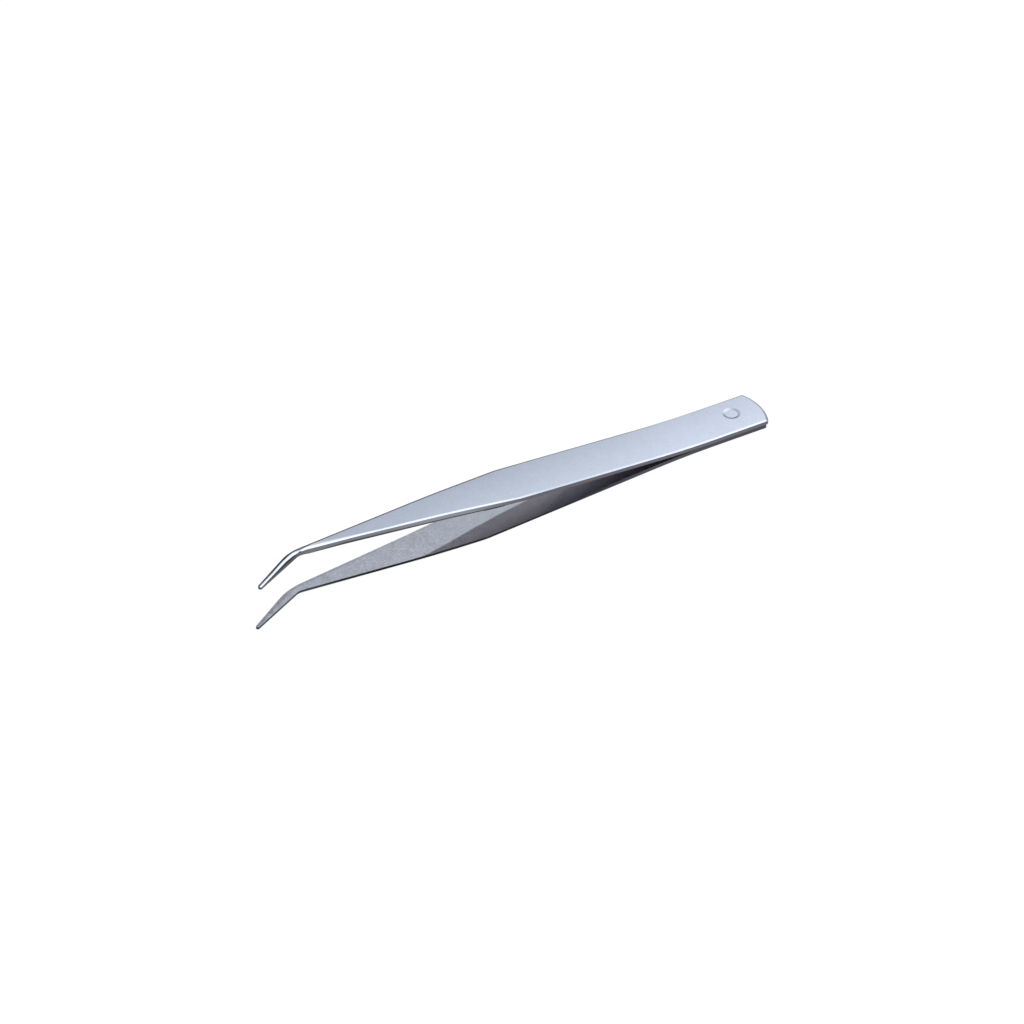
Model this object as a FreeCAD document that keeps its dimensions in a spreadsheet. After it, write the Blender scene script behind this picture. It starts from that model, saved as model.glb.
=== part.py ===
import FreeCAD
import Part
import Sketcher
import math
import os

# Tweezers: two stamped steel arms, one over the other, welded together at the tail.
# Working frame, in millimetres: the tail's end is at x = 0 and the tips are at -x, the tips
# are bent towards -y, and the arms touch each other on the plane z = 0.
# A station is a distance from the tail's end, measured towards the tips.

DOCUMENT = FreeCAD.newDocument("Tweezers")

SIZES = {
    # What the flat outlines of both arms share, as they are stamped
    "tail_width": 10.1,
    "tail_bulge": 1.2,
    "tail_corner_radius": 0.5,
    "shoulder_width": 10.7,
    "shoulder_radius": 12.0,
    # The upper arm's taper, the bend at its end and the point beyond the bend
    "upper_shoulder_station": 61.4,
    "upper_far_bend_station": 113.6,
    "upper_far_bend_offset": 0.1,
    "upper_far_bend_radius": 12.0,
    "upper_near_bend_station": 110.9,
    "upper_near_bend_offset": 0.4,
    "upper_near_bend_radius": 5.0,
    "upper_tip_station": 124.7,
    "upper_tip_offset": 7.17,
    "upper_tip_turn": 30.4,
    "upper_tip_width": 0.8,
    # The same places of the lower arm
    "lower_shoulder_station": 68.8,
    "lower_far_bend_station": 112.7,
    "lower_far_bend_offset": 0.8,
    "lower_far_bend_radius": 15.0,
    "lower_near_bend_station": 110.9,
    "lower_near_bend_offset": 0.8,
    "lower_near_bend_radius": 3.0,
    "lower_tip_station": 124.3,
    "lower_tip_offset": 6.65,
    "lower_tip_turn": 28.0,
    "lower_tip_width": 0.7,
    "tip_corner_radius": 0.3,
    # The side view: how an arm leaves the other one
    "spring_bend_station": 21.0,
    "spring_bend_radius": 200.0,
    "grip_bend_station": 77.9,
    "grip_bend_radius": 300.0,
    "upper_spring_rise": 3.64,
    "upper_grip_rise": 1.75,
    "lower_spring_rise": 3.82,
    "lower_grip_rise": 0.84,
    # Steel thickness: the welded tail, the step after it, the grip and the point
    "tail_thickness": 1.1,
    "upper_step_start_station": 62.5,
    "upper_step_end_station": 67.0,
    "upper_step_thickness": 1.42,
    "upper_grip_thickness": 1.57,
    "upper_relief_thickness": 1.65,
    "upper_bend_thickness": 1.3,
    "upper_end_thickness": 0.85,
    "lower_step_start_station": 36.0,
    "lower_step_end_station": 52.0,
    "lower_step_thickness": 0.7,
    "lower_grip_thickness": 0.85,
    "lower_relief_thickness": 0.87,
    "lower_bend_thickness": 0.85,
    "lower_end_thickness": 0.8,
    "relief_start_station": 109.0,
    "relief_end_station": 112.0,
    # Worked edges
    "edge_chamfer": 0.27,
    "inner_bevel_width": 0.25,
    "inner_bevel_height": 0.7,
    "inner_bevel_grip_share": 0.6,
    "inner_bevel_full_station": 101.0,
    "bevel_seed_share": 0.1,
    "point_bevel_start_station": 88.0,
    "point_bevel_full_station": 108.0,
    "point_bevel_width": 0.85,
    "upper_point_bevel_height": 0.45,
    "lower_point_bevel_height": 0.25,
    "far_bevel_width": 0.55,
    "far_bevel_height": 0.2,
    # The spot weld's mark
    "weld_station": 6.7,
    "weld_offset": 0.55,
    "weld_rim_radius": 1.9,
    "weld_floor_radius": 1.3,
    "weld_depth": 0.15,
    # How far the lower arm was welded on towards the tips
    "lower_arm_shift": 0.4,
    # How much wider than the arms the blank is that they are cut from
    "blank_margin": 3.0,
}


def make_sheet():
    sheet = DOCUMENT.addObject("Spreadsheet::Sheet", "Sizes")
    for row, (alias, value) in enumerate(SIZES.items(), start=1):
        sheet.set("A%d" % row, alias.replace("_", " "))
        sheet.set("B%d" % row, str(value))
        sheet.setAlias("B%d" % row, alias)
    DOCUMENT.recompute()
    return sheet


SHEET = make_sheet()


def value_of(expression):
    """The number that an expression on the sheet gives now."""
    result = SHEET.evalExpression(expression)
    return float(getattr(result, "Value", result))


def cell(alias):
    return "Sizes." + alias


def origin_plane(body, role):
    for feature in body.Origin.OriginFeatures:
        if feature.Role == role:
            return feature
    raise ValueError("no origin plane " + role)


def new_sketch(body, name, role):
    sketch = body.newObject("Sketcher::SketchObject", name)
    sketch.AttachmentSupport = (origin_plane(body, role), "")
    sketch.MapMode = "FlatFace"
    return sketch


def bind(sketch, index, name, expression):
    sketch.renameConstraint(index, name)
    sketch.setExpression("Constraints." + name, expression)


def corner_geometry(before, corner, after, radius):
    """Where a rounding of this radius leaves one side and meets the next."""
    to_before = (before - corner).normalize()
    to_after = (after - corner).normalize()
    half_angle = to_before.getAngle(to_after) / 2.0
    reach = radius / math.tan(half_angle)
    start = corner + to_before * reach
    end = corner + to_after * reach
    bisector = (to_before + to_after).normalize()
    middle = corner + bisector * (radius / math.sin(half_angle) - radius)
    return start, middle, end


def arc_ends(sketch, arc, start):
    """An arc always runs anticlockwise, so its first point may be the outline's second."""
    if sketch.getPoint(arc, 1).distanceToPoint(start) < 1e-6:
        return 1, 2
    return 2, 1


def draw_side(sketch, start, end, bulge):
    """One side of an outline, straight or bulging out, with the indices of its two ends."""
    if bulge is None:
        return sketch.addGeometry(Part.LineSegment(start, end), False), 1, 2
    along = (end - start).normalize()
    outwards = FreeCAD.Vector(along.y, -along.x, 0)
    middle = (start + end) * 0.5 + outwards * value_of(bulge)
    side = sketch.addGeometry(Part.Arc(start, middle, end), False)
    half_width = start.distanceToPoint(end) / 2.0
    radius = (half_width ** 2 + value_of(bulge) ** 2) / (2.0 * value_of(bulge))
    rounding = sketch.addConstraint(Sketcher.Constraint("Radius", side, radius))
    bind(sketch, rounding, "bulge_radius", BULGE_RADIUS)
    first, last = arc_ends(sketch, side, start)
    return side, first, last


def draw_outline(sketch, corners, bulges=None):
    """A closed outline, anticlockwise. Each corner is a name, its two places as expressions,
    and the expression of its rounding's radius or None for a sharp corner. The side that
    leaves a corner named in bulges bulges out by that expression."""
    bulges = bulges or {}
    count = len(corners)
    places = [FreeCAD.Vector(value_of(x), value_of(y), 0) for _, x, y, _ in corners]
    starts = list(places)
    ends = list(places)
    arcs = {}
    for index, (_, _, _, radius) in enumerate(corners):
        if radius is None:
            continue
        start, middle, end = corner_geometry(
            places[index - 1], places[index], places[(index + 1) % count], value_of(radius))
        starts[index] = start
        ends[index] = end
        arcs[index] = sketch.addGeometry(Part.Arc(start, middle, end), False)
    sides = []
    for index, (name, _, _, _) in enumerate(corners):
        following = (index + 1) % count
        sides.append(draw_side(sketch, ends[index], starts[following], bulges.get(name)))
    for index, (name, x, y, radius) in enumerate(corners):
        side_in, _, last = sides[index - 1]
        side_out, first, _ = sides[index]
        if radius is None:
            sketch.addConstraint(
                Sketcher.Constraint("Coincident", side_in, last, side_out, first))
            mark = (side_out, first)
        else:
            arc = arcs[index]
            arc_in, arc_out = arc_ends(sketch, arc, starts[index])
            sketch.addConstraint(Sketcher.Constraint("Tangent", side_in, last, arc, arc_in))
            sketch.addConstraint(Sketcher.Constraint("Tangent", arc, arc_out, side_out, first))
            rounding = sketch.addConstraint(
                Sketcher.Constraint("Radius", arc, value_of(radius)))
            bind(sketch, rounding, name + "_radius", radius)
            point = sketch.addGeometry(Part.Point(places[index]), True)
            sketch.addConstraint(Sketcher.Constraint("PointOnObject", point, 1, side_in))
            sketch.addConstraint(Sketcher.Constraint("PointOnObject", point, 1, side_out))
            mark = (point, 1)
        place_x = sketch.addConstraint(
            Sketcher.Constraint("DistanceX", -1, 1, mark[0], mark[1], places[index].x))
        bind(sketch, place_x, name + "_x", x)
        place_y = sketch.addConstraint(
            Sketcher.Constraint("DistanceY", -1, 1, mark[0], mark[1], places[index].y))
        bind(sketch, place_y, name + "_y", y)


# Expressions on the sheet that more than one feature needs
HALF_TAIL = "Sizes.tail_width / 2"
HALF_SHOULDER = "Sizes.shoulder_width / 2"
BULGE_RADIUS = "((Sizes.tail_width / 2) ^ 2 + Sizes.tail_bulge ^ 2) / (2 * Sizes.tail_bulge)"
BLANK_END = "(Sizes.upper_tip_station + Sizes.blank_margin)"
BLANK_SIDE = "(Sizes.upper_tip_offset + Sizes.blank_margin)"


def own(side, alias):
    """A size that each arm has for itself: side is 1 for the upper arm and -1 for the lower."""
    return cell(("upper_" if side > 0 else "lower_") + alias)


def signed(side, expression):
    """The same height above the plane between the arms, or below it for the lower arm."""
    return expression if side > 0 else "-(%s)" % expression


def height_before_grip(side, station):
    """Height of an arm's outer face over the plane between the arms, up to the grip bend."""
    return "(Sizes.tail_thickness + (%s - Sizes.spring_bend_station) * tan(%s * 1 deg))" % (
        station, own(side, "spring_rise"))


def height_past_grip(side, station):
    """The same height beyond the grip bend."""
    grip = cell("grip_bend_station")
    return "(%s + (%s - %s) * tan(%s * 1 deg))" % (
        height_before_grip(side, grip), station, grip, own(side, "grip_rise"))


def inner_height(outer, thickness):
    return "(%s - %s)" % (outer, thickness)


def side_view(side):
    """The bent strip seen from the side: along the outer face, back along the inner one."""
    spring = cell("spring_bend_station")
    grip = cell("grip_bend_station")
    relief_start = cell("relief_start_station")
    relief_end = cell("relief_end_station")
    step_start = own(side, "step_start_station")
    step_end = own(side, "step_end_station")
    thick = own(side, "grip_thickness")
    corners = [
        ("outer_tail", "0", cell("tail_thickness"), None),
        ("outer_spring", "-" + spring, cell("tail_thickness"), cell("spring_bend_radius")),
        ("outer_grip", "-" + grip, height_past_grip(side, grip), cell("grip_bend_radius")),
        ("outer_end", "-" + BLANK_END, height_past_grip(side, BLANK_END), None),
        ("inner_end", "-" + BLANK_END,
         inner_height(height_past_grip(side, BLANK_END), own(side, "end_thickness")), None),
        ("relief_end", "-" + relief_end,
         inner_height(height_past_grip(side, relief_end), own(side, "bend_thickness")),
         None),
        ("relief_start", "-" + relief_start,
         inner_height(height_past_grip(side, relief_start), own(side, "relief_thickness")),
         None),
        ("inner_grip", "-" + grip, inner_height(height_past_grip(side, grip), thick),
         "Sizes.grip_bend_radius - " + thick),
        ("step_end", "-" + step_end,
         inner_height(height_before_grip(side, step_end), own(side, "step_thickness")), None),
        ("step_start", "-" + step_start,
         inner_height(height_before_grip(side, step_start), cell("tail_thickness")), None),
        ("inner_spring", "-" + spring, "0", "Sizes.spring_bend_radius + Sizes.tail_thickness"),
        ("inner_tail", "0", "0", None),
    ]
    corners = [(name, x, signed(side, z), radius) for name, x, z, radius in corners]
    return corners if side > 0 else corners[::-1]


def tip_corner(side, across):
    """Station and offset of one corner of the point's end: across is -1 on the near side and
    1 on the far side."""
    turn = "(%s * 1 deg)" % own(side, "tip_turn")
    half = "(%d * %s / 2)" % (across, own(side, "tip_width"))
    station = "(%s + %s * sin(%s))" % (own(side, "tip_station"), half, turn)
    offset = "(%s * cos(%s) - %s)" % (half, turn, own(side, "tip_offset"))
    return station, offset


def bend_corner(side, across):
    """Station and offset of the corner of the bend on one side."""
    word = "far" if across > 0 else "near"
    offset = "(%d * %s)" % (across, own(side, word + "_bend_offset"))
    return own(side, word + "_bend_station"), offset


def edge_before_bend(side, across, station):
    """Offset of an arm's edge at a station on its taper."""
    shoulder = own(side, "shoulder_station")
    bend_station, bend_offset = bend_corner(side, across)
    start = "(%d * %s)" % (across, HALF_SHOULDER)
    return "(%s + (%s - %s) * (%s - %s) / (%s - %s))" % (
        start, bend_offset, start, station, shoulder, bend_station, shoulder)


def edge_past_bend(side, across, station):
    """Offset of an arm's edge at a station on its point."""
    bend_station, bend_offset = bend_corner(side, across)
    tip_station, tip_offset = tip_corner(side, across)
    return "(%s + (%s - %s) * (%s - %s) / (%s - %s))" % (
        bend_offset, tip_offset, bend_offset, station, bend_station, tip_station,
        bend_station)


def flat_outline(side):
    """An arm seen from above: near side from tail to tip, far side back to the tail."""
    shoulder = own(side, "shoulder_station")
    rounding = cell("tip_corner_radius")
    far_bend_station, far_bend_offset = bend_corner(side, 1)
    near_bend_station, near_bend_offset = bend_corner(side, -1)
    far_tip_station, far_tip_offset = tip_corner(side, 1)
    near_tip_station, near_tip_offset = tip_corner(side, -1)
    return [
        ("far_tail", "-Sizes.tail_bulge", HALF_TAIL, None),
        ("far_shoulder", "-" + shoulder, HALF_SHOULDER, cell("shoulder_radius")),
        ("far_bend", "-" + far_bend_station, far_bend_offset, own(side, "far_bend_radius")),
        ("far_tip", "-" + far_tip_station, far_tip_offset, rounding),
        ("near_tip", "-" + near_tip_station, near_tip_offset, rounding),
        ("near_bend", "-" + near_bend_station, near_bend_offset,
         own(side, "near_bend_radius")),
        ("near_shoulder", "-" + shoulder, "-" + HALF_SHOULDER, cell("shoulder_radius")),
        ("near_tail", "-Sizes.tail_bulge", "-" + HALF_TAIL, None),
    ]


def blank_outline():
    """The rectangle round an arm that is cut away."""
    return [
        ("blank_far_tail", "Sizes.blank_margin", BLANK_SIDE, None),
        ("blank_far_tip", "-%s - Sizes.blank_margin" % BLANK_END, BLANK_SIDE, None),
        ("blank_near_tip", "-%s - Sizes.blank_margin" % BLANK_END, "-" + BLANK_SIDE, None),
        ("blank_near_tail", "Sizes.blank_margin", "-" + BLANK_SIDE, None),
    ]


def bent_strip(body, side):
    sketch = new_sketch(body, body.Name + "_side_view", "XZ_Plane")
    draw_outline(sketch, side_view(side))
    pad = body.newObject("PartDesign::Pad", body.Name + "_strip")
    pad.Profile = sketch
    pad.Midplane = True
    pad.setExpression("Length", "2 * " + BLANK_SIDE)
    DOCUMENT.recompute()


def stamp_out(body, side):
    sketch = new_sketch(body, body.Name + "_flat_outline", "XY_Plane")
    draw_outline(sketch, flat_outline(side), {"near_tail": "Sizes.tail_bulge"})
    draw_outline(sketch, blank_outline())
    pocket = body.newObject("PartDesign::Pocket", body.Name + "_stamping")
    pocket.Profile = sketch
    pocket.Type = "ThroughAll"
    pocket.Midplane = True
    DOCUMENT.recompute()


def is_outer(face, side):
    """An outer face looks away from the plane between the arms."""
    centre = face.CenterOfMass
    u_place, v_place = face.Surface.parameter(centre)
    return side * face.normalAt(u_place, v_place).z > 0.9


def is_upright(face):
    centre = face.CenterOfMass
    u_place, v_place = face.Surface.parameter(centre)
    return abs(face.normalAt(u_place, v_place).z) < 0.1


def edge_names(shape, wanted):
    names = []
    for index, edge in enumerate(shape.Edges, start=1):
        faces = shape.ancestorsOfType(edge, Part.Face)
        if wanted(edge, faces):
            names.append("Edge%d" % index)
    return names


def round_tail_corners(body):
    """The two upright edges where the tail's bulge meets the long sides."""
    tip = body.Tip

    def wanted(edge, faces):
        box = edge.BoundBox
        upright = box.XLength < 1e-4 and box.YLength < 1e-4
        at_tail = abs(box.Center.x + value_of(cell("tail_bulge"))) < 1e-4
        return upright and at_tail

    fillet = body.newObject("PartDesign::Fillet", body.Name + "_tail_corners")
    fillet.Base = (tip, edge_names(tip.Shape, wanted))
    fillet.setExpression("Radius", cell("tail_corner_radius"))
    DOCUMENT.recompute()


def break_outer_edges(body, side):
    """The ground chamfer along the whole border of the outer face."""
    tip = body.Tip

    def wanted(edge, faces):
        outer = [face for face in faces if is_outer(face, side)]
        upright = [face for face in faces if is_upright(face)]
        return len(outer) == 1 and len(upright) == 1

    chamfer = body.newObject("PartDesign::Chamfer", body.Name + "_outer_edges")
    chamfer.Base = (tip, edge_names(tip.Shape, wanted))
    chamfer.setExpression("Size", cell("edge_chamfer"))
    DOCUMENT.recompute()


def wedge_section(body, name, side, across, station, edge, height, width, drop):
    """The triangle that a bevel removes at one station. Its long side runs from a width
    inside the edge, at this height, to a drop below that height on the edge itself; both
    ends run on by half, so that the triangle cuts cleanly."""
    overrun = 0.5
    out = "%s + (%d) * %s * %s" % (edge, across, overrun, width)
    within = "%s - (%d) * %s * %s" % (edge, across, 1 + overrun, width)
    low = "%s - %s * %s" % (height, 1 + overrun, drop)
    high = "%s + %s * %s" % (height, overrun, drop)
    corners = [
        (name + "_within", within, signed(side, high), None),
        (name + "_corner", out, signed(side, high), None),
        (name + "_low", out, signed(side, low), None),
    ]
    sketch = new_sketch(body, body.Name + "_" + name, "YZ_Plane")
    sketch.setExpression("AttachmentOffset.Base.z", "-%s" % station)
    draw_outline(sketch, corners)
    return sketch


def cut_wedge(body, name, side, across, sections):
    """A long bevel through triangles, each a word and what the section needs."""
    sketches = [
        wedge_section(body, "%s_%s" % (name, section[0]), side, across, *section[1:])
        for section in sections]
    loft = body.newObject("PartDesign::SubtractiveLoft", "%s_%s" % (body.Name, name))
    loft.Profile = sketches[0]
    loft.Sections = sketches[1:]
    loft.Ruled = True
    DOCUMENT.recompute()


def seed_of(width, drop):
    """A bevel starts from a triangle so small that it lies where nothing is left to cut."""
    share = cell("bevel_seed_share")
    return share + " * " + width, share + " * " + drop


def bevel_point(body, side):
    """The broad near bevel: it grows along the taper, and from the bend on it takes in
    nearly the whole outer face."""
    start = cell("point_bevel_start_station")
    full = cell("point_bevel_full_station")
    width = cell("point_bevel_width")
    drop = own(side, "point_bevel_height")
    bend, bend_offset = bend_corner(side, -1)
    seed = seed_of(width, drop)
    sections = [
        ("start", start, edge_before_bend(side, -1, start),
         height_past_grip(side, start)) + seed,
        ("full", full, edge_before_bend(side, -1, full), height_past_grip(side, full),
         width, drop),
        ("bend", bend, bend_offset, height_past_grip(side, bend), width, drop),
        ("end", BLANK_END, edge_past_bend(side, -1, BLANK_END),
         height_past_grip(side, BLANK_END), width, drop),
    ]
    cut_wedge(body, "point_bevel", side, -1, sections)


def bevel_far_edge(body, side):
    """The narrow flat bevel on the far edge, from the shoulder round the bend to the tip."""
    shoulder = own(side, "shoulder_station")
    grip = cell("grip_bend_station")
    width = cell("far_bevel_width")
    drop = cell("far_bevel_height")
    bend, bend_offset = bend_corner(side, 1)
    half_turn = "((%s * 1 deg - atan((%s - %s) / (%s - %s))) / 2)" % (
        own(side, "tip_turn"), HALF_SHOULDER, bend_offset, bend, shoulder)
    reach = "(%s * tan(%s))" % (own(side, "far_bend_radius"), half_turn)
    sag = "(%s * (1 / cos(%s) - 1))" % (own(side, "far_bend_radius"), half_turn)
    before = "(%s - %s)" % (bend, reach)
    after = "(%s + %s)" % (bend, reach)
    seed = seed_of(width, drop)
    sections = [
        ("shoulder", shoulder, HALF_SHOULDER, height_before_grip(side, shoulder)) + seed,
        ("grip", grip, edge_before_bend(side, 1, grip), height_before_grip(side, grip),
         width, drop),
        ("before_bend", before, edge_before_bend(side, 1, before),
         height_past_grip(side, before), width, drop),
        ("bend", bend, "(%s - %s)" % (bend_offset, sag), height_past_grip(side, bend),
         width, drop),
        ("after_bend", after, edge_past_bend(side, 1, after), height_past_grip(side, after),
         width, drop),
        ("end", BLANK_END, edge_past_bend(side, 1, BLANK_END),
         height_past_grip(side, BLANK_END), width, drop),
    ]
    cut_wedge(body, "far_bevel", side, 1, sections)


def bevel_inner_edge(body, side):
    """The long steep bevel on the near inner edge: none at the shoulder, full before the
    bend, gone where the relief starts. Its heights count from the inner face up, so the
    drop is negative."""
    shoulder = own(side, "shoulder_station")
    grip = cell("grip_bend_station")
    full = cell("inner_bevel_full_station")
    end = cell("relief_start_station")
    width = cell("inner_bevel_width")
    height = "(-%s)" % cell("inner_bevel_height")
    seed = seed_of(width, height)
    share = cell("inner_bevel_grip_share")
    inner_shoulder = inner_height(height_before_grip(side, shoulder), cell("tail_thickness"))
    inner_grip = inner_height(height_before_grip(side, grip), own(side, "grip_thickness"))
    inner_full = inner_height(height_past_grip(side, full), own(side, "relief_thickness"))
    inner_end = inner_height(height_past_grip(side, end), own(side, "relief_thickness"))
    sections = [
        ("shoulder", shoulder, "-" + HALF_SHOULDER, inner_shoulder) + seed,
        ("grip", grip, edge_before_bend(side, -1, grip), inner_grip,
         share + " * " + width, share + " * " + height),
        ("full", full, edge_before_bend(side, -1, full), inner_full, width, height),
        ("end", end, edge_before_bend(side, -1, end), inner_end) + seed,
    ]
    cut_wedge(body, "inner_bevel", side, -1, sections)


def weld_mark(body, side):
    """The shallow round recess that the spot weld leaves in the outer face."""
    sketch = new_sketch(body, body.Name + "_weld_section", "XZ_Plane")
    sketch.setExpression("AttachmentOffset.Base.x", "-Sizes.weld_station")
    sketch.setExpression("AttachmentOffset.Base.z", "-Sizes.weld_offset")
    above = "Sizes.tail_thickness + Sizes.weld_depth"
    floor = "Sizes.tail_thickness - Sizes.weld_depth"
    wall_run = "(Sizes.weld_rim_radius - Sizes.weld_floor_radius)"
    corners = [
        ("mark_axis_floor", "0", signed(side, floor), None),
        ("mark_floor", "Sizes.weld_floor_radius", signed(side, floor), None),
        ("mark_above", "Sizes.weld_rim_radius + " + wall_run, signed(side, above), None),
        ("mark_axis_above", "0", signed(side, above), None),
    ]
    draw_outline(sketch, corners)
    groove = body.newObject("PartDesign::Groove", body.Name + "_weld_mark")
    groove.Profile = sketch
    groove.ReferenceAxis = (sketch, ["V_Axis"])
    groove.Angle = 360.0
    DOCUMENT.recompute()


def make_arm(name, side):
    body = DOCUMENT.addObject("PartDesign::Body", name)
    body.Label = name
    bent_strip(body, side)
    stamp_out(body, side)
    round_tail_corners(body)
    break_outer_edges(body, side)
    bevel_point(body, side)
    bevel_far_edge(body, side)
    if side > 0:
        bevel_inner_edge(body, side)
    weld_mark(body, side)
    return body


def resting_tilt():
    """The turn about the y axis that lays the lower arm on the tail's end and on its belly,
    which is the rounding of the grip bend."""
    tail = FreeCAD.Vector(-value_of("Sizes.edge_chamfer"), -value_of("Sizes.tail_thickness"), 0)
    corners = side_view(-1)
    places = [FreeCAD.Vector(value_of(x), value_of(z), 0) for _, x, z, _ in corners]
    index = [name for name, _, _, _ in corners].index("outer_grip")
    radius = value_of("Sizes.grip_bend_radius")
    start, middle, end = corner_geometry(
        places[index - 1], places[index], places[index + 1], radius)
    centre = Part.Circle(start, middle, end).Center
    to_centre = centre - tail
    to_belly = math.asin(radius / to_centre.Length)
    slope = math.atan2(to_centre.y, -to_centre.x)
    return math.degrees(to_belly - slope)


def lay_down(upper, lower):
    """Both arms turn together, and the origin comes to the middle of what they cover."""
    turn = FreeCAD.Rotation(FreeCAD.Vector(0, 1, 0), resting_tilt())
    shift = FreeCAD.Vector(-value_of("Sizes.lower_arm_shift"), 0, 0)
    upper.Placement = FreeCAD.Placement(FreeCAD.Vector(0, 0, 0), turn)
    lower.Placement = FreeCAD.Placement(turn.multVec(shift), turn)
    DOCUMENT.recompute()
    box = upper.Shape.optimalBoundingBox(False, False)
    box.add(lower.Shape.optimalBoundingBox(False, False))
    home = FreeCAD.Vector(-box.Center.x, -box.Center.y, -box.ZMin)
    for arm in (upper, lower):
        arm.Placement = FreeCAD.Placement(arm.Placement.Base + home, turn)
    DOCUMENT.recompute()


def check_document():
    for item in DOCUMENT.Objects:
        if "Invalid" in item.State or "Error" in item.State:
            raise RuntimeError("%s failed: %s" % (item.Label, item.State))


def check_cuts(body):
    """Every cut takes steel away: a cut that points the wrong way would take none."""
    before = None
    for feature in body.Group:
        if not hasattr(feature, "BaseFeature"):
            continue
        volume = feature.Shape.Volume
        if before is not None and volume >= before:
            raise RuntimeError("%s removed nothing" % feature.Name)
        before = volume


def write_part(body):
    shape = body.Shape
    if shape.isNull() or not shape.isValid() or len(shape.Solids) != 1:
        raise RuntimeError("%s isn't one sound solid" % body.Label)
    shape.exportStep("parts/%s.step" % body.Label)
    box = shape.optimalBoundingBox(False, False)
    print(body.Label, "volume", round(shape.Volume, 2), "box", box)


def main():
    upper = make_arm("upper_arm", 1)
    lower = make_arm("lower_arm", -1)
    lay_down(upper, lower)
    check_document()
    os.makedirs("parts", exist_ok=True)
    for arm in (upper, lower):
        check_cuts(arm)
        write_part(arm)


main()
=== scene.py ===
"""Bent-tip tweezers of two stainless steel arms, lying on a white studio table."""

import math
from typing import NamedTuple, Optional

import bmesh
import bpy
from bpy.props import (
    FloatProperty,
    FloatVectorProperty,
    PointerProperty,
    StringProperty,
)
from mathutils import Matrix, Vector

bl_info = {
    "name": "Bent-tip tweezers",
    "version": (1, 0, 0),
    "blender": (4, 5, 0),
    "location": "3D View > Sidebar > Tweezers",
    "description": "Dresses the two tweezer arms in ground steel and sets up the studio",
    "category": "Object",
}

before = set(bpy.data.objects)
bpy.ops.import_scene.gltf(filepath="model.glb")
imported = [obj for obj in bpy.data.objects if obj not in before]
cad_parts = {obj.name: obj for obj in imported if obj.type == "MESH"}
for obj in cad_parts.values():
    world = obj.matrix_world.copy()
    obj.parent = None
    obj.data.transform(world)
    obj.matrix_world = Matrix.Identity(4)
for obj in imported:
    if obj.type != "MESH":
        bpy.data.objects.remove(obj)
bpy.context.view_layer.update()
MM = 0.001

# ---------------------------------------------------------------- the arms in plan
# Corners are (x, y) in millimetres. Walking from the first to the last, the steel lies
# on the right.


class ArmLook(NamedTuple):
    """What tells the steel of one arm from that of the other."""
    inner_sign: float              # sign of the inner face's normal along Z
    far_edge: tuple                # tip, bend, shoulder and tail corner of the far edge
    side_reflection_tones: tuple              # painted reflections on the sides: their brightness, as ramp stops
    reflection_step_line: Optional[tuple]   # a line seen across the inner face, read as the end of its grinding; past it a darker reflection is painted
                                   # of its grinding


# Ramp stops are (share of the length from the tip, factor).
UPPER_LOOK = ArmLook(
    inner_sign=-1.0,
    far_edge=((-62.03, -5.79), (-50.76, 1.14), (1.27, 6.38), (61.2, 6.08)),
    side_reflection_tones=((0.085, 0.40), (0.13, 0.85), (0.27, 1.0), (0.35, 1.3), (0.42, 1.25),
                (0.47, 0.85), (0.52, 0.60), (1.0, 0.68)),
    reflection_step_line=None)
LOWER_LOOK = ArmLook(
    inner_sign=1.0,
    far_edge=((-62.10, -5.20), (-50.25, 1.83), (-6.6, 6.38), (60.8, 6.08)),
    side_reflection_tones=((0.04, 0.7), (0.08, 1.3), (0.13, 1.2), (0.19, 0.45), (0.30, 0.25),
                (0.38, 0.50), (0.52, 0.30), (0.60, 0.50), (0.66, 0.90), (0.75, 1.8),
                (1.0, 1.5)),
    reflection_step_line=((6.42, -3.88), (14.4, 0.08)))

# The near edge, from the shoulder to the tip's corner
NEAR_SHOULDER, NEAR_BEND, NEAR_TIP = (-6.3, -4.315), (-48.36, 0.635), (-61.61, -6.47)
# The middle of the arc that ends the tail, and its radius
TAIL_ARC = (51.2, 1.03, 11.2)
# The far edge is rounded at the bend, over this much of its two lines.
BEND_ROUNDING = 1.9 * MM
# The arms reach this far from the origin along X.
HALF_LENGTH = 62.0 * MM

# ---------------------------------------------------------------- kinds of face
# Stops are (part of the normal, share): the kinds fade into each other.
SIDE_STEEPNESS = ((0.45, 1.0), (0.60, 0.0))
INNER_FACING = ((0.4, 0.0), (0.6, 1.0))
NEAR_FACING = ((0.20, 0.0), (0.30, 1.0))
AWAY_FACING = ((0.22, 0.0), (0.30, 1.0))
# The tail's end counts as facing away by this share of its normal.
TAIL_END_SHARE = 0.5
# The steep bevel on the inner edge of a side is darker than the side.
INNER_BEVEL_SHADE = ((0.1, 1.0), (0.3, 0.25))

# ---------------------------------------------------------------- painted reflections along the arms
# These, like the side tones above, are given values that stand in for what the polished
# steel mirrors of a room that isn't modelled. Factors of 1 give an even finish.
FACE_REFLECTION_TONE = ((0.0, 0.97), (0.3, 0.99), (0.5, 0.94), (0.7, 0.98), (0.85, 1.04), (1.0, 1.04))
INNER_REFLECTION_TONE = ((0.06, 0.93), (0.12, 1.0), (0.5, 1.02), (0.6, 1.08), (0.66, 1.20),
              (0.75, 1.55), (1.0, 1.7))
NEAR_BEVEL_REFLECTION_TONE = ((0.48, 1.0), (0.56, 0.70), (0.70, 0.80), (0.93, 0.92))
# Past the ground edge, a darker reflection is painted on the inner face, over this half width.
REFLECTION_STEP_TONE, REFLECTION_STEP_BLUR = 0.86, 0.25 * MM

# From here on, seen from the near edge, a painted darker reflection is laid on the point's
# bevel, as if it were rounded into the face.
BEVEL_DIM_START, BEVEL_DIM_END = 0.48 * MM, 0.62 * MM
BEVEL_DIM_TONE = 0.55
BEVEL_DIM_ZONE = ((0.09, 0.0), (0.11, 1.0), (0.24, 1.0), (0.3, 0.0))
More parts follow.
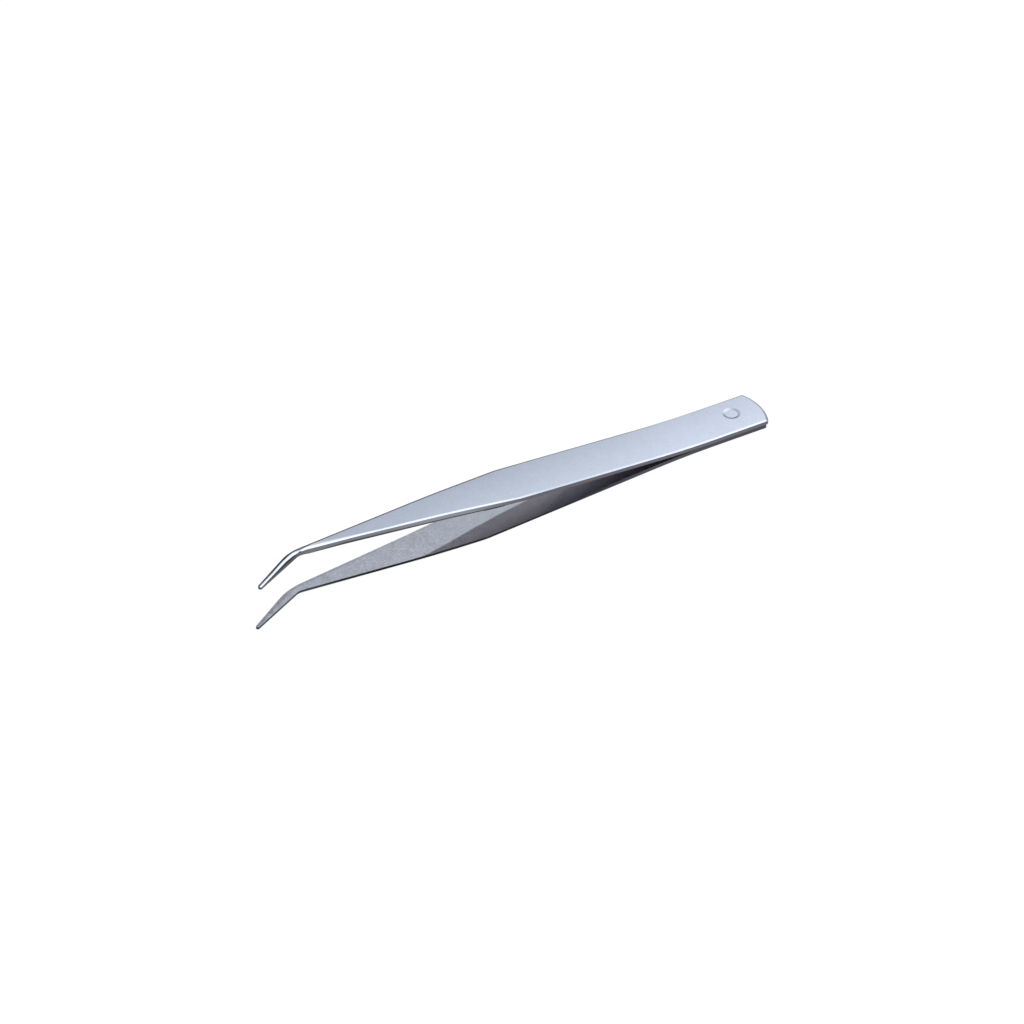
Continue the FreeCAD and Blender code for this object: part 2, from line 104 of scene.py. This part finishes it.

# A painted dark reflection lies along the point's near edge, over more of the width where the
# bend starts.
POINT_EDGE_DARK_REFLECTION = "#28282C"
POINT_EDGE_WIDTH, POINT_EDGE_BLUR = 0.45 * MM, 0.10 * MM
POINT_EDGE_BREADTH = ((0.0, 0.22), (0.045, 0.55), (0.075, 0.78), (0.092, 0.50), (0.105, 0.0))

# A painted dark reflection follows the far edge: strong and broad at the point, faint at the
# tail.
FACE_LINE_TONE = ((0.02, 0.14), (0.12, 0.16), (0.20, 0.26), (0.45, 0.32), (0.64, 0.28),
                  (0.75, 0.38), (0.87, 0.90), (0.95, 0.75), (1.0, 0.50))
INNER_LINE_TONE = ((0.10, 0.75), (0.30, 0.94), (1.0, 1.0))
LINE_FULL, LINE_END = 0.36 * MM, 0.52 * MM
LINE_EXTRA_WIDTH = 0.22 * MM
LINE_EXTRA_SHARE = ((0.0, 0.0), (0.04, 0.9), (0.09, 0.9), (0.11, 0.6), (0.45, 0.8),
                    (0.60, 0.1))

# A painted reflection: the far bevels and the tail's end mirror the dark side of the room.
AWAY_REFLECTION_COLOUR = "#7E7E86"

# ---------------------------------------------------------------- marks and relief
STAIN_DEPTH, STAIN_DETAIL, STAIN_ROUGHNESS = 0.6, 4.0, 0.62
SPECKLE_DEPTH, SPECKLE_DETAIL, SPECKLE_ROUGHNESS = 1.0, 2.0, 0.5
# How much of the marks shows on the outer face, and how much more on the inner one
FACE_MARKS = 0.18
INNER_MARKS = ((0.08, 1.0), (0.14, 0.75), (0.38, 0.65), (0.46, 0.25))
# Grinding lines are this many times longer than wide.
GRAIN_STRETCH, GRAIN_DETAIL = 50.0, 3.0
GRAIN_STRENGTH, GRAIN_HEIGHT = 0.04, 0.02 * MM

# ---------------------------------------------------------------- the studio
TABLE_RADIUS, TABLE_SEGMENTS = 6.0, 96
# The share of the table that glows for the camera and in mirrors. The rest takes shadow.
TABLE_GLOW_SHARE, TABLE_GLOW, TABLE_GREY = 0.9, 1.05, 0.8
# Dark at the horizon, bright where the faces look, darker again overhead
SKY = ((0.0, 0.30), (0.22, 0.40), (0.42, 0.73), (0.62, 0.84), (0.85, 0.70), (1.0, 0.60))
SKY_TINT = (0.96, 1.0, 1.07)
# The key light is a broad bright patch above the near side.
KEY_DIRECTION = (0.55, -0.25, 0.80)
KEY = ((0.70, 0.0), (0.86, 0.9), (0.92, 1.5))
BACK_BOX_DIRECTION, BACK_BOX_DISTANCE = (0.601, 0.527, 0.601), 0.632
BACK_BOX_SIZE, BACK_BOX_RADIANCE = (0.20, 0.20), 0.65
SENSOR_WIDTH = 36.0
# Light reaches the deep gap near the weld by many mirrorings.
GLOSSY_BOUNCES, ALL_BOUNCES = 16, 20


def linear(hex_colour):
    """The linear RGBA of an sRGB hex colour."""
    channels = [int(hex_colour[i:i + 2], 16) / 255 for i in (1, 3, 5)]
    return tuple(
        c / 12.92 if c <= 0.04045 else ((c + 0.055) / 1.055) ** 2.4 for c in channels
    ) + (1.0,)


WHITE, BLACK = linear("#FFFFFF"), linear("#000000")


def feed(tree, socket, value):
    """Links an input to an output, or sets it to a value."""
    if isinstance(value, bpy.types.NodeSocket):
        tree.links.new(value, socket)
    else:
        socket.default_value = value


def node(tree, kind, settings=None, inputs=None):
    """Adds a node, sets its properties, and feeds its inputs."""
    made = tree.nodes.new(kind)
    for name, value in (settings or {}).items():
        setattr(made, name, value)
    for name, value in (inputs or {}).items():
        feed(tree, made.inputs[name], value)
    return made


def new_tree(name):
    """A material and its node tree, emptied."""
    material = bpy.data.materials.new(name)
    material.use_nodes = True
    tree = material.node_tree
    tree.nodes.clear()
    return material, tree


def ramp(tree, factor, stops, tint=(1.0, 1.0, 1.0)):
    """The colour of a Color Ramp with (position, brightness) stops in one tint."""
    made = node(tree, "ShaderNodeValToRGB", inputs={"Fac": factor})
    elements = made.color_ramp.elements
    colours = [(position, tuple(value * t for t in tint) + (1.0,)) for position, value in stops]
    elements[0].position, elements[0].color = colours[0]
    elements[1].position, elements[1].color = colours[-1]
    for position, colour in colours[1:-1]:
        elements.new(position).color = colour
    return made.outputs["Color"]


def calculated(tree, operation, *operands):
    """The result of a Math node; each operand is a number or an output."""
    return node(tree, "ShaderNodeMath", {"operation": operation},
                dict(enumerate(operands))).outputs[0]


def scaled(tree, colour, factor):
    """A colour output times a number."""
    return node(tree, "ShaderNodeVectorMath", {"operation": "SCALE"},
                {0: colour, "Scale": factor}).outputs[0]


def tinted(tree, colour, factor):
    """One colour output times another."""
    return node(tree, "ShaderNodeVectorMath", {"operation": "MULTIPLY"},
                {0: colour, 1: factor}).outputs[0]


def mixed(tree, factor, first, second):
    """A colour mix; the colours are outputs or RGBA values."""
    made = node(tree, "ShaderNodeMix", {"data_type": "RGBA"}, {"Factor": factor})
    for name, colour in (("A", first), ("B", second)):
        feed(tree, next(i for i in made.inputs if i.name == name and i.type == "RGBA"), colour)
    return next(o for o in made.outputs if o.type == "RGBA")


def blended(tree, factor, first, second):
    """A mix of two numbers."""
    return node(tree, "ShaderNodeMix",
                inputs={"Factor": factor, "A": first, "B": second}).outputs["Result"]


def fade(tree, value, none, full):
    """0 where the value is none, 1 where it is full, and the same beyond either."""
    return node(tree, "ShaderNodeMapRange",
                inputs={"From Min": none, "From Max": full, "Value": value}).outputs[0]


class SteelSettings(bpy.types.PropertyGroup):
    """Colours and finish of the steel arms."""
    face_colour: StringProperty(
        name="Face colour", description="Ground outer face, sRGB", default="#BDC4D0")
    upper_inner_colour: StringProperty(
        name="Upper inner colour", description="Inner face of the upper arm, sRGB",
        default="#A19CA2")
    lower_inner_colour: StringProperty(
        name="Lower inner colour", description="Inner face of the lower arm, sRGB",
        default="#B5B8BE")
    # The sides' colours are partly their duller stamped finish and partly painted dark
    # reflection; the lower arm's, darker still, is painted reflection of its contact shadow.
    upper_side_colour: StringProperty(
        name="Upper side colour", description="Stamped sides of the upper arm, sRGB",
        default="#828189")
    lower_side_colour: StringProperty(
        name="Lower side colour", description="Stamped sides of the lower arm, sRGB",
        default="#3C3C42")
    face_roughness: FloatProperty(
        name="Face roughness", description="Roughness of the ground outer face",
        default=0.26, min=0.0, max=1.0)
    upper_inner_roughness: FloatProperty(
        name="Upper inner roughness", description="The upper arm is satin inside",
        default=0.45, min=0.0, max=1.0)
    lower_inner_roughness: FloatProperty(
        name="Lower inner roughness", description="The lower arm is bright rolled inside",
        default=0.07, min=0.0, max=1.0)
    side_roughness: FloatProperty(
        name="Side roughness", description="Roughness of the stamped sides",
        default=0.40, min=0.0, max=1.0)
    grain_spacing: FloatProperty(
        name="Grain spacing", description="Distance between the grinding lines",
        default=0.12 * MM, min=0.0, unit="LENGTH")
    stain_size: FloatProperty(
        name="Stain size", description="Size of the faint stains",
        default=2.2 * MM, min=0.0, unit="LENGTH")
    speckle_size: FloatProperty(
        name="Speckle size", description="Size of the fine speckle",
        default=0.38 * MM, min=0.0, unit="LENGTH")
    crown_radius: FloatProperty(
        name="Crown radius", description="The faces are very slightly crowned across",
        default=200.0 * MM, min=0.0, unit="LENGTH")


class StageSettings(bpy.types.PropertyGroup):
    """The camera of the studio."""
    azimuth: FloatProperty(
        name="Azimuth", description="Camera direction round the object",
        default=math.radians(-31.164), subtype="ANGLE")
    elevation: FloatProperty(
        name="Elevation", description="Camera height above the horizon",
        default=math.radians(38.767), subtype="ANGLE")
    roll: FloatProperty(
        name="Roll", description="Turn of the camera about its own axis",
        default=math.radians(-0.77), subtype="ANGLE")
    distance: FloatProperty(
        name="Distance", description="From the object to the camera",
        default=3.0, min=0.1, unit="LENGTH")
    offset: FloatVectorProperty(
        name="Offset", description="Camera axis from the origin, to the right and up",
        size=2, default=(1.4414 * MM, 1.1545 * MM), unit="LENGTH")
    image_width: FloatProperty(
        name="View width", description="Width of the view at the object",
        default=209.37 * MM, unit="LENGTH")


def line_distance(tree, place, start, end):
    """How far, in metres, a place lies to the right of a line in plan."""
    (x_0, y_0), (x_1, y_1) = start, end
    length = math.hypot(x_1 - x_0, y_1 - y_0)
    normal_x, normal_y = (y_1 - y_0) / length, -(x_1 - x_0) / length
    along = calculated(tree, "ADD",
                       calculated(tree, "MULTIPLY", place.outputs["X"], normal_x),
                       calculated(tree, "MULTIPLY", place.outputs["Y"], normal_y))
    return calculated(tree, "SUBTRACT", along, (normal_x * x_0 + normal_y * y_0) * MM)


def far_edge_distance(tree, place, corners):
    """How far, in metres, a place lies inside the far edge and the tail's end."""
    middle_x, middle_y, radius = TAIL_ARC
    behind = calculated(tree, "MAXIMUM", calculated(
        tree, "SUBTRACT", place.outputs["X"], middle_x * MM), 0.0)
    beside = calculated(tree, "SUBTRACT", place.outputs["Y"], middle_y * MM)
    reach = calculated(tree, "SQRT", calculated(
        tree, "ADD", calculated(tree, "MULTIPLY", behind, behind),
        calculated(tree, "MULTIPLY", beside, beside)))
    tail = calculated(tree, "SUBTRACT", radius * MM, reach)
    tip, bend, shoulder, corner = corners
    point = line_distance(tree, place, tip, bend)
    taper = line_distance(tree, place, bend, shoulder)
    strap = line_distance(tree, place, shoulder, corner)
    front = calculated(tree, "SMOOTH_MIN", point, taper, BEND_ROUNDING)
    return calculated(tree, "MINIMUM", front, calculated(tree, "MINIMUM", strap, tail))


class Surface:
    """Where a place of an arm is, and which way it faces, as node outputs."""

    def __init__(self, tree, inner_sign):
        coords = node(tree, "ShaderNodeTexCoord")
        self.coords = coords.outputs["Object"]
        self.place = node(tree, "ShaderNodeSeparateXYZ", inputs={"Vector": self.coords})
        facing = node(tree, "ShaderNodeSeparateXYZ",
                      inputs={"Vector": coords.outputs["Normal"]}).outputs
        self.position = node(tree, "ShaderNodeMapRange", inputs={
            "From Min": -HALF_LENGTH, "From Max": HALF_LENGTH,
            "Value": self.place.outputs["X"]}).outputs[0]
        steepness = calculated(tree, "ABSOLUTE", facing["Z"])
        self.side = ramp(tree, steepness, SIDE_STEEPNESS)
        self.inward = calculated(tree, "MULTIPLY", facing["Z"], inner_sign)
        self.inner = ramp(tree, self.inward, INNER_FACING)
        away = calculated(tree, "MAXIMUM", facing["Y"],
                          calculated(tree, "MULTIPLY", facing["X"], TAIL_END_SHARE))
        self.away = ramp(tree, away, AWAY_FACING)
        near = calculated(tree, "MULTIPLY", facing["Y"], -1.0)
        self.near = ramp(tree, near, NEAR_FACING)


def outer_face_colour(tree, surface, settings):
    """The ground outer face and its bevels, with painted reflections along them and a painted
    dark reflection on the point's near edge.
    """
    position, place = surface.position, surface.place
    face = mixed(tree, surface.away, linear(settings.face_colour), linear(AWAY_REFLECTION_COLOUR))
    face = tinted(tree, face, ramp(tree, position, FACE_REFLECTION_TONE))
    bevel = tinted(tree, face, ramp(tree, position, NEAR_BEVEL_REFLECTION_TONE))
    face = mixed(tree, surface.near, face, bevel)

    near_distance = calculated(
        tree, "MAXIMUM", line_distance(tree, place, NEAR_BEND, NEAR_TIP),
        line_distance(tree, place, NEAR_SHOULDER, NEAR_BEND))
    # A painted darker reflection on the point's bevel, away from its near edge
    past_start = fade(tree, near_distance, BEVEL_DIM_START, BEVEL_DIM_END)
    dimmed_bevel = calculated(tree, "MULTIPLY", surface.near, past_start)
    dimmed_bevel = calculated(tree, "MULTIPLY", dimmed_bevel, ramp(tree, position, BEVEL_DIM_ZONE))
    face = mixed(tree, dimmed_bevel, face, scaled(tree, face, BEVEL_DIM_TONE))

    width = calculated(tree, "MULTIPLY", ramp(tree, position, POINT_EDGE_BREADTH),
                       POINT_EDGE_WIDTH)
    past_edge = calculated(tree, "SUBTRACT", near_distance, width)
    dark_reflection_share = fade(tree, past_edge, 0.0, -POINT_EDGE_BLUR)
    return mixed(tree, dark_reflection_share, face, linear(POINT_EDGE_DARK_REFLECTION))


def inner_face_colour(tree, surface, colour, reflection_step_line):
    """The rolled inner face with painted reflections: brighter towards the weld, and darker
    past the ground edge where there is one.
    """
    inner = mixed(tree, surface.inner, WHITE, linear(colour))
    inner = tinted(tree, inner, ramp(tree, surface.position, INNER_REFLECTION_TONE))
    if reflection_step_line:
        past = line_distance(tree, surface.place, *reflection_step_line)
        past_share = fade(tree, past, -REFLECTION_STEP_BLUR, REFLECTION_STEP_BLUR)
        inner = mixed(tree, past_share, inner, scaled(tree, inner, REFLECTION_STEP_TONE))
    return inner


def side_colour(tree, surface, colour, tones):
    """The stamped side with its painted reflections; the steep bevel on its inner edge gets
    painted shade and is the darkest face.
    """
    bevel_shade = ramp(tree, surface.inward, INNER_BEVEL_SHADE)
    side = mixed(tree, bevel_shade, BLACK, linear(colour))
    return tinted(tree, side, ramp(tree, surface.position, tones))


def far_dark_reflection(tree, surface, far_edge):
    """The painted dark reflection along the far edge, as a factor on the colour."""
    position = surface.position
    line = mixed(tree, surface.inner, ramp(tree, position, FACE_LINE_TONE),
                 ramp(tree, position, INNER_LINE_TONE))
    extra = calculated(tree, "MULTIPLY", ramp(tree, position, LINE_EXTRA_SHARE),
                       LINE_EXTRA_WIDTH)
    distance = calculated(
        tree, "SUBTRACT", far_edge_distance(tree, surface.place, far_edge), extra)
    return mixed(tree, fade(tree, distance, LINE_END, LINE_FULL), WHITE, line)


def marks(tree, surface, settings):
    """Faint stains and fine speckle, as a factor; stronger on the inner face."""
    def noise(size, depth, detail, roughness):
        pattern = node(tree, "ShaderNodeTexNoise", inputs={
            "Scale": 1.0 / size, "Detail": detail, "Roughness": roughness,
            "Vector": surface.coords})
        centred = calculated(tree, "SUBTRACT", pattern.outputs["Fac"], 0.5)
        return calculated(tree, "MULTIPLY", centred, depth)

    both = calculated(tree, "ADD",
                      noise(settings.stain_size, STAIN_DEPTH, STAIN_DETAIL,
                            STAIN_ROUGHNESS),
                      noise(settings.speckle_size, SPECKLE_DEPTH, SPECKLE_DETAIL,
                            SPECKLE_ROUGHNESS))
    more_inside = calculated(tree, "MULTIPLY", surface.inner,
                             ramp(tree, surface.position, INNER_MARKS))
    depth = calculated(tree, "ADD", more_inside, FACE_MARKS)
    return calculated(tree, "ADD", calculated(tree, "MULTIPLY", both, depth), 1.0)


def relief(tree, surface, settings):
    """The normal of a slightly crowned face with grinding lines along it."""
    y = surface.place.outputs["Y"]
    # The crown's height falls with the square of the distance from the middle line.
    crown = calculated(tree, "MULTIPLY", calculated(tree, "MULTIPLY", y, y),
                       -0.5 / settings.crown_radius)
    bulge = node(tree, "ShaderNodeBump",
                 inputs={"Strength": 1.0, "Distance": 1.0, "Height": crown})
    stretched = node(tree, "ShaderNodeMapping", inputs={
        "Scale": (1.0 / GRAIN_STRETCH, 1.0, 1.0), "Vector": surface.coords})
    grain = node(tree, "ShaderNodeTexNoise", inputs={
        "Scale": 1.0 / settings.grain_spacing, "Detail": GRAIN_DETAIL,
        "Vector": stretched.outputs[0]})
    return node(tree, "ShaderNodeBump", inputs={
        "Strength": GRAIN_STRENGTH, "Distance": GRAIN_HEIGHT,
        "Height": grain.outputs["Fac"], "Normal": bulge.outputs[0]}).outputs[0]


def ground_steel(settings, arm, look):
    """Stainless steel strip: satin-ground outside, rolled inside, stamped sides."""
    material, tree = new_tree("stainless_steel_" + arm)
    surface = Surface(tree, look.inner_sign)

    outer = outer_face_colour(tree, surface, settings)
    inner = inner_face_colour(
        tree, surface, getattr(settings, arm + "_inner_colour"), look.reflection_step_line)
    faces = mixed(tree, surface.inner, outer, inner)
    faces = scaled(tree, tinted(tree, faces, far_dark_reflection(tree, surface, look.far_edge)),
                   marks(tree, surface, settings))
    side = side_colour(
        tree, surface, getattr(settings, arm + "_side_colour"), look.side_reflection_tones)

    roughness = blended(tree, surface.inner, settings.face_roughness,
                        getattr(settings, arm + "_inner_roughness"))
    roughness = blended(tree, surface.side, roughness, settings.side_roughness)
    shader = node(tree, "ShaderNodeBsdfPrincipled", inputs={
        "Metallic": 1.0,
        "Base Color": mixed(tree, surface.side, faces, side),
        "Roughness": roughness,
        "Normal": relief(tree, surface, settings)})
    node(tree, "ShaderNodeOutputMaterial", inputs={"Surface": shader.outputs[0]})
    return material


def dress(arm, material):
    """Gives a CAD node its material."""
    arm.data.materials.clear()
    arm.data.materials.append(material)


class TWEEZERS_OT_upper_arm(bpy.types.Operator):
    """Dress the upper arm in ground steel"""
    bl_idname = "tweezers.upper_arm"
    bl_label = "Upper arm"

    def execute(self, context):
        dress(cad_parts["upper_arm"],
              ground_steel(context.scene.tweezers_steel, "upper", UPPER_LOOK))
        return {"FINISHED"}


class TWEEZERS_OT_lower_arm(bpy.types.Operator):
    """Dress the lower arm in ground steel"""
    bl_idname = "tweezers.lower_arm"
    bl_label = "Lower arm"

    def execute(self, context):
        dress(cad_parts["lower_arm"],
              ground_steel(context.scene.tweezers_steel, "lower", LOWER_LOOK))
        return {"FINISHED"}


def white_paper():
    """Matt white paper: seen white, and it keeps a soft shadow."""
    material, tree = new_tree("white_paper")
    path = node(tree, "ShaderNodeLightPath").outputs
    seen = calculated(tree, "ADD", path["Is Camera Ray"], path["Is Glossy Ray"])
    seen = calculated(tree, "ADD", seen, path["Is Transmission Ray"])
    share = calculated(tree, "MULTIPLY", seen, TABLE_GLOW_SHARE)
    paper = node(tree, "ShaderNodeBsdfDiffuse", inputs={"Color": (TABLE_GREY,) * 3 + (1.0,)})
    glow = node(tree, "ShaderNodeEmission", inputs={"Color": WHITE, "Strength": TABLE_GLOW})
    both = node(tree, "ShaderNodeMixShader",
                inputs={0: share, 1: paper.outputs[0], 2: glow.outputs[0]})
    node(tree, "ShaderNodeOutputMaterial", inputs={"Surface": both.outputs[0]})
    return material


def add_table(scene):
    """A round white table far wider than the view."""
    bm = bmesh.new()
    bmesh.ops.create_circle(bm, cap_ends=True, segments=TABLE_SEGMENTS, radius=TABLE_RADIUS)
    mesh = bpy.data.meshes.new("table")
    bm.to_mesh(mesh)
    bm.free()
    table = bpy.data.objects.new("table", mesh)
    scene.collection.objects.link(table)
    mesh.materials.append(white_paper())


def add_sky(scene):
    """A sky that is brighter in the middle heights, with the key light in it."""
    world = bpy.data.worlds.new("studio")
    scene.world = world
    world.use_nodes = True
    tree = world.node_tree
    tree.nodes.clear()
    direction = node(tree, "ShaderNodeTexCoord").outputs["Generated"]
    axes = node(tree, "ShaderNodeSeparateXYZ", inputs={"Vector": direction})
    sky = ramp(tree, axes.outputs["Z"], SKY, tint=SKY_TINT)
    towards = node(tree, "ShaderNodeVectorMath", {"operation": "DOT_PRODUCT"},
                   {1: Vector(KEY_DIRECTION).normalized(), 0: direction})
    key = ramp(tree, towards.outputs["Value"], KEY)
    light = node(tree, "ShaderNodeVectorMath", {"operation": "ADD"}, {0: sky, 1: key})
    glow = node(tree, "ShaderNodeBackground", inputs={"Color": light.outputs[0]})
    node(tree, "ShaderNodeOutputWorld", inputs={"Surface": glow.outputs[0]})


def add_soft_box(scene, name, direction, distance, size, radiance):
    """A rectangular lamp that looks at the object from a direction."""
    width, height = size
    lamp = bpy.data.lights.new(name, "AREA")
    lamp.shape = "RECTANGLE"
    lamp.size, lamp.size_y = width, height
    lamp.energy = radiance * math.pi * width * height
    box = bpy.data.objects.new(name, lamp)
    place = Vector(direction).normalized() * distance
    turn = place.to_track_quat("Z", "Y").to_matrix().to_4x4()
    box.matrix_world = Matrix.Translation(place) @ turn
    box.visible_camera = False
    scene.collection.objects.link(box)


def add_camera(scene, settings):
    """The camera at the photograph's angle."""
    azimuth, elevation, roll = settings.azimuth, settings.elevation, settings.roll
    back = Vector((math.sin(azimuth) * math.cos(elevation),
                   -math.cos(azimuth) * math.cos(elevation), math.sin(elevation)))
    right = Vector((math.cos(azimuth), math.sin(azimuth), 0.0))
    up = back.cross(right)
    right, up = (right * math.cos(roll) + up * math.sin(roll),
                 up * math.cos(roll) - right * math.sin(roll))
    place = (right * settings.offset[0] + up * settings.offset[1]
             + back * settings.distance)
    lens = bpy.data.cameras.new("camera")
    lens.sensor_width = SENSOR_WIDTH
    lens.lens = lens.sensor_width * settings.distance / settings.image_width
    camera = bpy.data.objects.new("camera", lens)
    turn = Matrix((right, up, back)).transposed().to_4x4()
    camera.matrix_world = Matrix.Translation(place) @ turn
    scene.collection.objects.link(camera)
    scene.camera = camera


class TWEEZERS_OT_stage(bpy.types.Operator):
    """Set up the table, the lamp, the sky and the camera"""
    bl_idname = "tweezers.stage"
    bl_label = "Stage"

    def execute(self, context):
        scene = context.scene
        add_table(scene)
        add_sky(scene)
        add_soft_box(scene, "back_box", BACK_BOX_DIRECTION, BACK_BOX_DISTANCE,
                     BACK_BOX_SIZE, BACK_BOX_RADIANCE)
        add_camera(scene, scene.tweezers_stage)
        scene.view_settings.view_transform = "Standard"
        scene.cycles.glossy_bounces = GLOSSY_BOUNCES
        scene.cycles.max_bounces = ALL_BOUNCES
        return {"FINISHED"}


class TWEEZERS_PT_panel(bpy.types.Panel):
    """Lists the pieces of the tweezers"""
    bl_label = "Tweezers"
    bl_idname = "TWEEZERS_PT_panel"
    bl_space_type = "VIEW_3D"
    bl_region_type = "UI"
    bl_category = "Tweezers"

    def draw(self, context):
        column = self.layout.column()
        for operator in PIECES:
            column.operator(operator.bl_idname)
        for group in (context.scene.tweezers_steel, context.scene.tweezers_stage):
            for name in group.__annotations__:
                column.prop(group, name)


PIECES = (TWEEZERS_OT_upper_arm, TWEEZERS_OT_lower_arm, TWEEZERS_OT_stage)
CLASSES = (SteelSettings, StageSettings) + PIECES + (TWEEZERS_PT_panel,)


def register():
    for made in CLASSES:
        bpy.utils.register_class(made)
    bpy.types.Scene.tweezers_steel = PointerProperty(type=SteelSettings)
    bpy.types.Scene.tweezers_stage = PointerProperty(type=StageSettings)


def unregister():
    del bpy.types.Scene.tweezers_stage
    del bpy.types.Scene.tweezers_steel
    for made in reversed(CLASSES):
        bpy.utils.unregister_class(made)


def main():
    register()
    bpy.ops.tweezers.upper_arm()
    bpy.ops.tweezers.lower_arm()
    bpy.ops.tweezers.stage()


if __name__ == "__main__":
    main()
